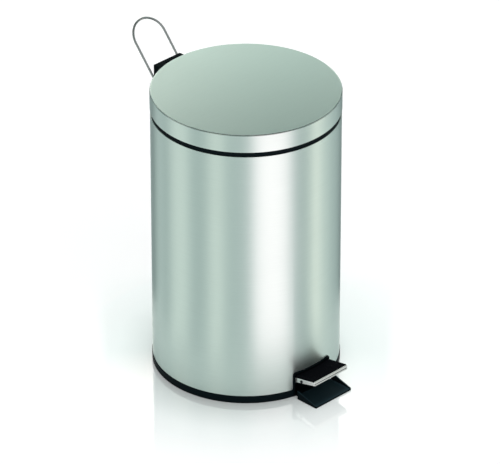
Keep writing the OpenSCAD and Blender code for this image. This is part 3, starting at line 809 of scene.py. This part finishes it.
# Well above the horizon no panel is brighter than this. It dims between these two leans, in
# degrees above the horizon
PANEL_TOP = 0.9
PANEL_DIMS = (4, 12)
# Red and blue against green: at level 0, and the change with the level
ROOM_RED = (0.76, 0.2)
ROOM_BLUE = (1.05, -0.08)
# The main light is whiter than the room by this much red and blue
MAIN_WHITER = (0.08, 0.14)

# The studio's back behind the bin, which the lid's top mirrors: its level at its middle lean,
# the change with each degree sideways and upwards, and its lowest and highest level
BACK_LEAN = 30
BACK_LEVEL = 5.45
BACK_SIDEWAYS = 0.08
BACK_UPWARDS = -0.53
BACK_LIMITS = (0.1, 4.5)
# It fades in between these leans, and between these degrees to either side
BACK_STARTS = (20, 26)
BACK_SIDES = (32, 16)
# An even patch of level 1 in it, which the floor mirrors, fades in between these degrees to
# either side, and above or below its middle
EVEN_SIDES = (13, 9)
EVEN_HEIGHT = (5.5, 3.5)
# Its red, as the room's, and the most it may be, and its blue
BACK_RED = (0.64, 0.16)
BACK_REDDEST = 1.12
BACK_BLUE = 0.94
# Between these leans the ceiling loses this share of its level
CEILING_STARTS = (52, 62)
CEILING_DIMMED = 0.6

# The shell that carries all this: its radius, its height above the floor, its points round the
# bin, its rows, and the leans of its lowest and highest row
SHELL_RADIUS = 1.6
SHELL_HEIGHT = 2.4
SHELL_POINTS = 360
SHELL_ROWS = 60
SHELL_LEANS = (-80.0, 89.9)

# The floor, in metres: how far from the bin's axis it is mirrored in the steel, how far it
# reaches, and the distances between which its own mirroring and its painted shade fade
NEAR_FLOOR = 0.24
FAR_FLOOR = 14.0
FLOOR_FADE = (0.125, 0.30)
# The power that shapes the fade, and the mirror's colour and roughness
FADE_POWER = 1.5
MIRROR_COLOR = (0.89, 0.81, 0.82, 1.0)
MIRROR_ROUGHNESS = 0.012
# Colour of the floor far from the bin, and close to it, where a darker cyan is painted shade
FLOOR_WHITE = (0.86, 0.87, 0.87)
FLOOR_NEAR_SHADE = (0.77, 0.85, 0.838)
# What is added to its brightness where it is seen, and where it is mirrored
FLOOR_LIFT_SEEN = 0.275
FLOOR_LIFT_MIRRORED = 0.11
# How far below the bin it lies, so that the two don't coincide
FLOOR_DROP = 0.1 * MM

# Strength of the world as a light, and how far off the lamps stand, in metres
WORLD_LIGHT = 0.50
LAMP_DISTANCE = 3.0
# The point that the camera aims at, the width of its sensor in millimetres, and how far it
# sees in metres
CAMERA_AIM = Vector((3.69, -3.69, 188.06)) * MM
CAMERA_SENSOR = 36.0
CAMERA_SIGHT = 60.0


def ramp(value, start, end):
    """From 0 at start to 1 at end"""
    return clamped((value - start) / (end - start))


def panel_share(angle, middle, half):
    """How much of a panel shows at an angle in degrees, from 0 to 1"""
    return ramp(abs(angle - middle), half + PANEL_FADE / 2, half - PANEL_FADE / 2)


def side_light(angle):
    """Level, red and blue of the studio at an angle in degrees"""
    level = GAP_LEVEL
    for middle, half, panel in (*STUDIO_PANELS, MAIN_PANEL):
        level += (panel - level) * panel_share(angle, middle, half)
    main = panel_share(angle, *MAIN_PANEL[:2])
    red = ROOM_RED[0] + ROOM_RED[1] * level + MAIN_WHITER[0] * main
    blue = ROOM_BLUE[0] + ROOM_BLUE[1] * level + MAIN_WHITER[1] * main
    return level, red, blue


def back_light(sideways, lean):
    """Level of the studio's back at degrees from straight behind and above the horizon"""
    level = BACK_LEVEL + BACK_SIDEWAYS * sideways + BACK_UPWARDS * (lean - BACK_LEAN)
    level = min(BACK_LIMITS[1], max(BACK_LIMITS[0], level))
    even = ramp(abs(sideways), *EVEN_SIDES) * ramp(abs(lean - BACK_LEAN), *EVEN_HEIGHT)
    return level + (1.0 - level) * even


def studio_color(angle, lean):
    """Colour of the reflected studio at an angle round the bin and a lean above the horizon"""
    side, red, blue = side_light(angle)
    side += (min(side, PANEL_TOP) - side) * ramp(lean, *PANEL_DIMS)
    sideways = angle % 360 - 180
    share = ramp(lean, *BACK_STARTS) * ramp(abs(sideways), *BACK_SIDES)
    level = side + (back_light(sideways, lean) - side) * share
    level *= 1.0 - CEILING_DIMMED * ramp(lean, *CEILING_STARTS)
    red += (min(BACK_REDDEST, BACK_RED[0] + BACK_RED[1] * level) - red) * share
    blue += (BACK_BLUE - blue) * share
    return level * red, level, level * blue, 1.0


def shell_ring(row):
    """The points of one row of the shell, which is stretched upwards above the floor"""
    lowest, highest = SHELL_LEANS
    lean = math.radians(lowest + (highest - lowest) * row / SHELL_ROWS)
    wide = SHELL_RADIUS * math.cos(lean)
    height = (SHELL_HEIGHT if lean > 0 else SHELL_RADIUS) * math.sin(lean)
    return [(wide * x, wide * y, height) for x, y in circle(SHELL_POINTS)]


def studio_shell(stage):
    """A shell round the bin that only reflections see: soft panels and gaps between them"""
    camera_side = -math.pi / 2 + stage.azimuth
    bm = bmesh.new()
    levels = bm.loops.layers.float_color.new("level")
    grid = [[bm.verts.new(point) for point in shell_ring(row)] for row in range(SHELL_ROWS + 1)]
    for low, high in zip(grid, grid[1:]):
        for step in range(SHELL_POINTS):
            following = (step + 1) % SHELL_POINTS
            face = bm.faces.new((low[step], low[following], high[following], high[step]))
            for loop in face.loops:
                x, y, z = loop.vert.co
                turn = math.degrees(math.atan2(y, x) - camera_side)
                turn = (turn + 180) % 360 - 180
                loop[levels] = studio_color(turn, math.degrees(math.atan2(z, math.hypot(x, y))))
    shader = Shader("studio_panels")
    glow = shader.node("ShaderNodeEmission")
    level = shader.node("ShaderNodeAttribute", attribute_name="level")
    shader.link(level.outputs["Color"], glow.inputs["Color"])
    shader.link(glow.outputs["Emission"], shader.output.inputs["Surface"])
    shell = stage_object("studio_shell", bm, shader.material)
    shell.visible_camera = False
    shell.visible_diffuse = False
    shell.visible_shadow = False
    shell.visible_transmission = False


def stage_object(name, bm, material):
    """Makes an object for the stage from a bmesh, which it uses up"""
    mesh = bpy.data.meshes.new(name)
    bm.to_mesh(mesh)
    bm.free()
    mesh.materials.append(material)
    made = bpy.data.objects.new(name, mesh)
    bpy.context.scene.collection.objects.link(made)
    return made


def floor_material(stage):
    """White that fades to a mirror near the bin, and is painted darker there as shade"""
    shader = Shader("floor_white")
    path = shader.node("ShaderNodeLightPath")
    seen = shader.math("MULTIPLY", path.outputs["Is Camera Ray"], FLOOR_LIFT_SEEN)
    mirrored = shader.math("MULTIPLY", path.outputs["Is Glossy Ray"], FLOOR_LIFT_MIRRORED)
    lift = shader.node("ShaderNodeEmission")
    shader.link(shader.math("ADD", seen, mirrored), lift.inputs["Strength"])
    place = shader.node("ShaderNodeTexCoord")
    span = shader.node("ShaderNodeVectorMath", operation="LENGTH")
    shader.link(place.outputs["Object"], span.inputs[0])
    near = shader.node("ShaderNodeMapRange")
    shader.set(near, From_Min=FLOOR_FADE[0], From_Max=FLOOR_FADE[1], To_Min=1.0, To_Max=0.0)
    shader.link(span.outputs["Value"], near.inputs["Value"])
    white = shader.node("ShaderNodeBsdfDiffuse")
    # Painted shade: close to the bin the floor's colour turns darker and cyan
    near_shade_color = shader.shade(near.outputs["Result"], FLOOR_WHITE, FLOOR_NEAR_SHADE)
    shader.link(near_shade_color, white.inputs["Color"])
    lifted = shader.node("ShaderNodeAddShader")
    shader.link(white.outputs["BSDF"], lifted.inputs[0])
    shader.link(lift.outputs["Emission"], lifted.inputs[1])
    mirror = shader.node("ShaderNodeBsdfGlossy")
    shader.set(mirror, Roughness=MIRROR_ROUGHNESS, Color=MIRROR_COLOR)
    eased = shader.math("POWER", near.outputs["Result"], FADE_POWER)
    share = shader.math("MULTIPLY", eased, stage.floor_mirror)
    both = shader.mixed(share, lifted.outputs["Shader"], mirror.outputs["BSDF"])
    shader.link(both, shader.output.inputs["Surface"])
    return shader.material


def floor_ring(name, inner, outer, material):
    """A flat ring, or a disc where inner is 0"""
    bm = bmesh.new()
    turns = circle(128)
    outside = [bm.verts.new((outer * x, outer * y, 0.0)) for x, y in turns]
    if inner:
        inside = [bm.verts.new((inner * x, inner * y, 0.0)) for x, y in turns]
        for step in range(len(turns)):
            following = (step + 1) % len(turns)
            bm.faces.new((inside[step], outside[step], outside[following], inside[following]))
    else:
        bm.faces.new(outside)
    ring = stage_object(name, bm, material)
    ring.location.z = -FLOOR_DROP
    return ring


def studio_floor(stage):
    """Only the floor near the bin is mirrored in the steel"""
    material = floor_material(stage)
    floor_ring("near_floor", 0.0, NEAR_FLOOR, material)
    far = floor_ring("far_floor", NEAR_FLOOR, FAR_FLOOR, material)
    far.visible_glossy = False


def studio_world():
    """White where it is seen, mirrored or seen through, and soft light otherwise"""
    world = bpy.data.worlds.new("studio")
    bpy.context.scene.world = world
    world.use_nodes = True
    sky = Nodes(world.node_tree)
    soft = sky.node("ShaderNodeBackground")
    sky.set(soft, Strength=WORLD_LIGHT)
    white = sky.node("ShaderNodeBackground")
    sky.set(white, Strength=1.0)
    path = sky.node("ShaderNodeLightPath")
    seen = path.outputs["Is Camera Ray"]
    for other in ("Is Glossy Ray", "Is Transmission Ray"):
        seen = sky.math("MAXIMUM", seen, path.outputs[other])
    output = sky.node("ShaderNodeOutputWorld")
    both = sky.mixed(seen, soft.outputs["Background"], white.outputs["Background"])
    sky.link(both, output.inputs["Surface"])


def soft_sun(name, tilt, side, spread, strength):
    """Parallel light that isn't mirrored, tilted from overhead to one side, in degrees"""
    data = bpy.data.lights.new(name, "SUN")
    data.energy = strength
    data.angle = math.radians(spread)
    lamp = bpy.data.objects.new(name, data)
    bpy.context.scene.collection.objects.link(lamp)
    lean, turn = math.radians(tilt), math.radians(side)
    place = Vector((
        math.sin(lean) * math.cos(turn),
        math.sin(lean) * math.sin(turn),
        math.cos(lean),
    ))
    lamp.location = place * LAMP_DISTANCE
    lamp.rotation_mode = "QUATERNION"
    lamp.rotation_quaternion = (-place).to_track_quat("-Z", "Y")
    lamp.visible_glossy = False


def studio_camera(stage):
    """A distant camera with a long lens"""
    data = bpy.data.cameras.new("camera")
    data.lens = stage.lens
    data.sensor_width = CAMERA_SENSOR
    data.clip_end = CAMERA_SIGHT
    camera = bpy.data.objects.new("camera", data)
    bpy.context.scene.collection.objects.link(camera)
    level = math.cos(stage.elevation)
    back = Vector((
        math.sin(stage.azimuth) * level,
        -math.cos(stage.azimuth) * level,
        math.sin(stage.elevation),
    ))
    camera.location = CAMERA_AIM + back * stage.distance
    camera.rotation_mode = "QUATERNION"
    camera.rotation_quaternion = (-back).to_track_quat("-Z", "Y")
    bpy.context.scene.camera = camera


class BIN_OT_stage(bpy.types.Operator):
    """Floor, light and camera"""

    bl_idname = "bin.stage"
    bl_label = "Stage"

    def execute(self, context):
        stage = context.scene.bin_stage
        studio_world()
        studio_floor(stage)
        studio_shell(stage)
        soft_sun("top_lamp", tilt=4.0, side=15.0, spread=12.0, strength=1.25)
        soft_sun("front_lamp", tilt=55.0, side=-120.0, spread=60.0, strength=0.5)
        studio_camera(stage)
        context.scene.view_settings.view_transform = "Standard"
        return {"FINISHED"}


OPERATORS = (
    BIN_OT_body, BIN_OT_lid, BIN_OT_rings, BIN_OT_pedal, BIN_OT_hinge, BIN_OT_handle, BIN_OT_bucket,
    BIN_OT_lifter, BIN_OT_stage,
)


class BIN_PT_panel(bpy.types.Panel):
    """Lists the bin's settings and its makers"""

    bl_idname = "BIN_PT_panel"
    bl_label = "Pedal bin"
    bl_space_type = "VIEW_3D"
    bl_region_type = "UI"
    bl_category = "Pedal bin"

    def draw(self, context):
        for name in SETTINGS:
            settings = getattr(context.scene, name)
            box = self.layout.box()
            for value in settings.__annotations__:
                box.prop(settings, value)
        for operator in OPERATORS:
            self.layout.operator(operator.bl_idname)


def register():
    for name, settings in SETTINGS.items():
        bpy.utils.register_class(settings)
        setattr(bpy.types.Scene, name, PointerProperty(type=settings))
    for operator in OPERATORS:
        bpy.utils.register_class(operator)
    bpy.utils.register_class(BIN_PT_panel)


def unregister():
    bpy.utils.unregister_class(BIN_PT_panel)
    for operator in reversed(OPERATORS):
        bpy.utils.unregister_class(operator)
    for name, settings in reversed(SETTINGS.items()):
        delattr(bpy.types.Scene, name)
        bpy.utils.unregister_class(settings)


def main():
    register()
    bpy.ops.bin.body()
    bpy.ops.bin.lid()
    bpy.ops.bin.rings()
    bpy.ops.bin.pedal()
    bpy.ops.bin.hinge()
    bpy.ops.bin.handle()
    bpy.ops.bin.bucket()
    bpy.ops.bin.lifter()
    bpy.ops.bin.stage()
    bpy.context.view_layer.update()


if __name__ == "__main__":
    main()
